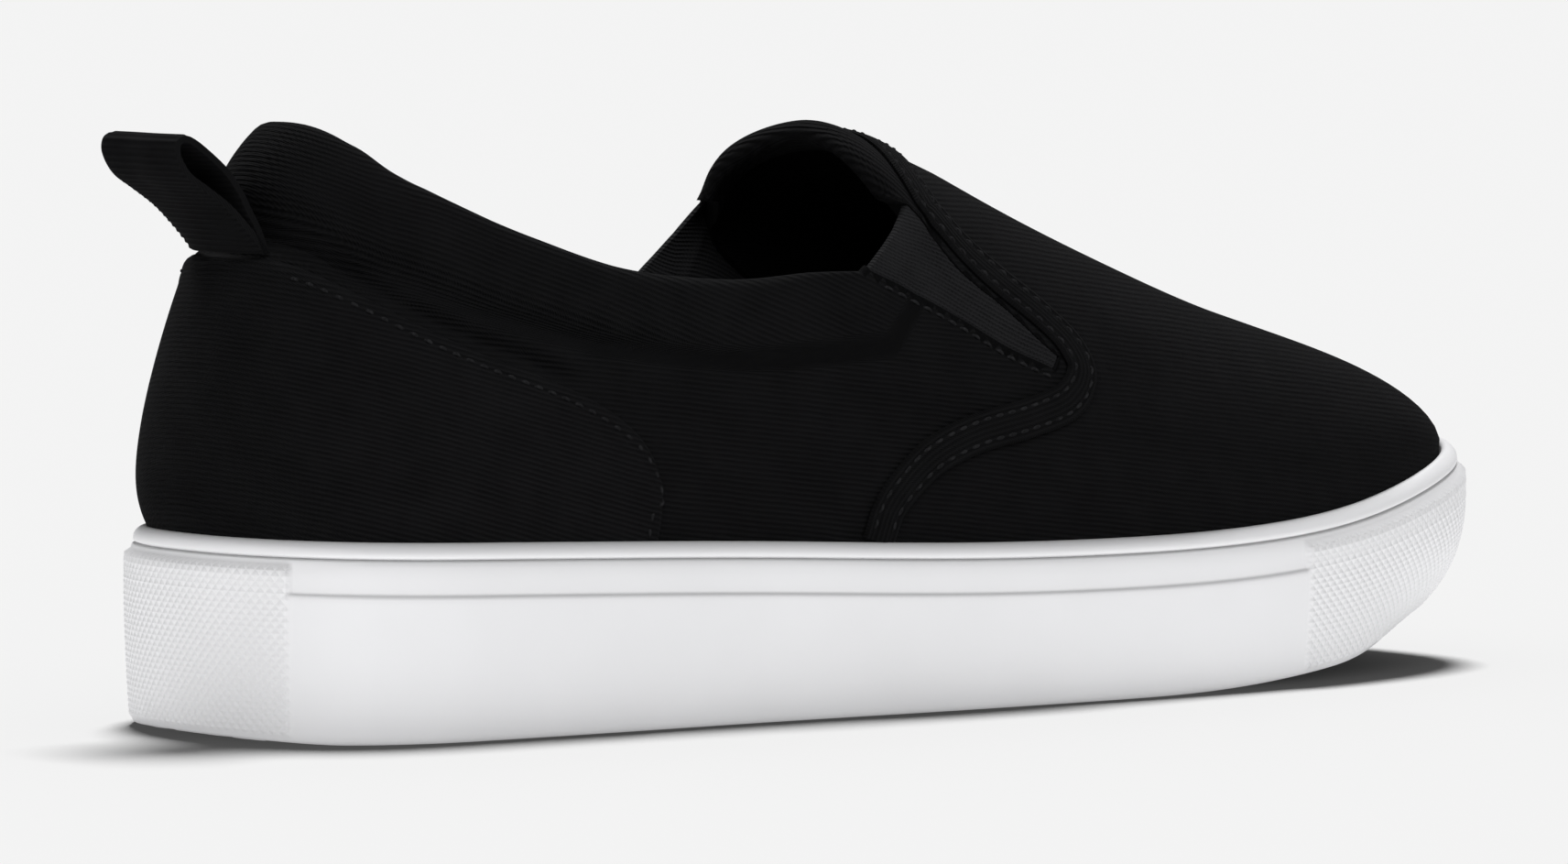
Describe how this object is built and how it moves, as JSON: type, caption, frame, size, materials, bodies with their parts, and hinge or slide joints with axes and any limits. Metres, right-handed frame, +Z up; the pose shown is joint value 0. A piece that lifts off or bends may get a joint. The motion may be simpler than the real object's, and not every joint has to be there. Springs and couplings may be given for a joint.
{
  "type": "slip-on sneaker",
  "caption": "Right slip-on sneaker: hollow black twill upper with a padded collar, heel counter, raised vamp band, elastic side gores and a pull loop, on a thick moulded white rubber cup sole.",
  "frame": {"origin": "on the floor under the middle of the shoe's box", "axes": "+X from the heel to the toe, +Y to the inner (medial) side, +Z up"},
  "size_m": [0.2776, 0.0938, 0.101],
  "materials": {
    "sole_rubber": "satin white moulded rubber",
    "lining": "matt black woven lining",
    "twill": "matt black cotton twill",
    "elastic": "matt black woven elastic",
    "tape": "matt black ribbed tape"
  },
  "bodies": {
    "root": {"sole": "sole_rubber", "insole": "lining", "upper": "twill", "heel_counter": "twill", "vamp_edge_band": "twill", "gore_lateral": "elastic", "gore_medial": "elastic", "pull_loop": "tape"}
  },
  "joints": []
}
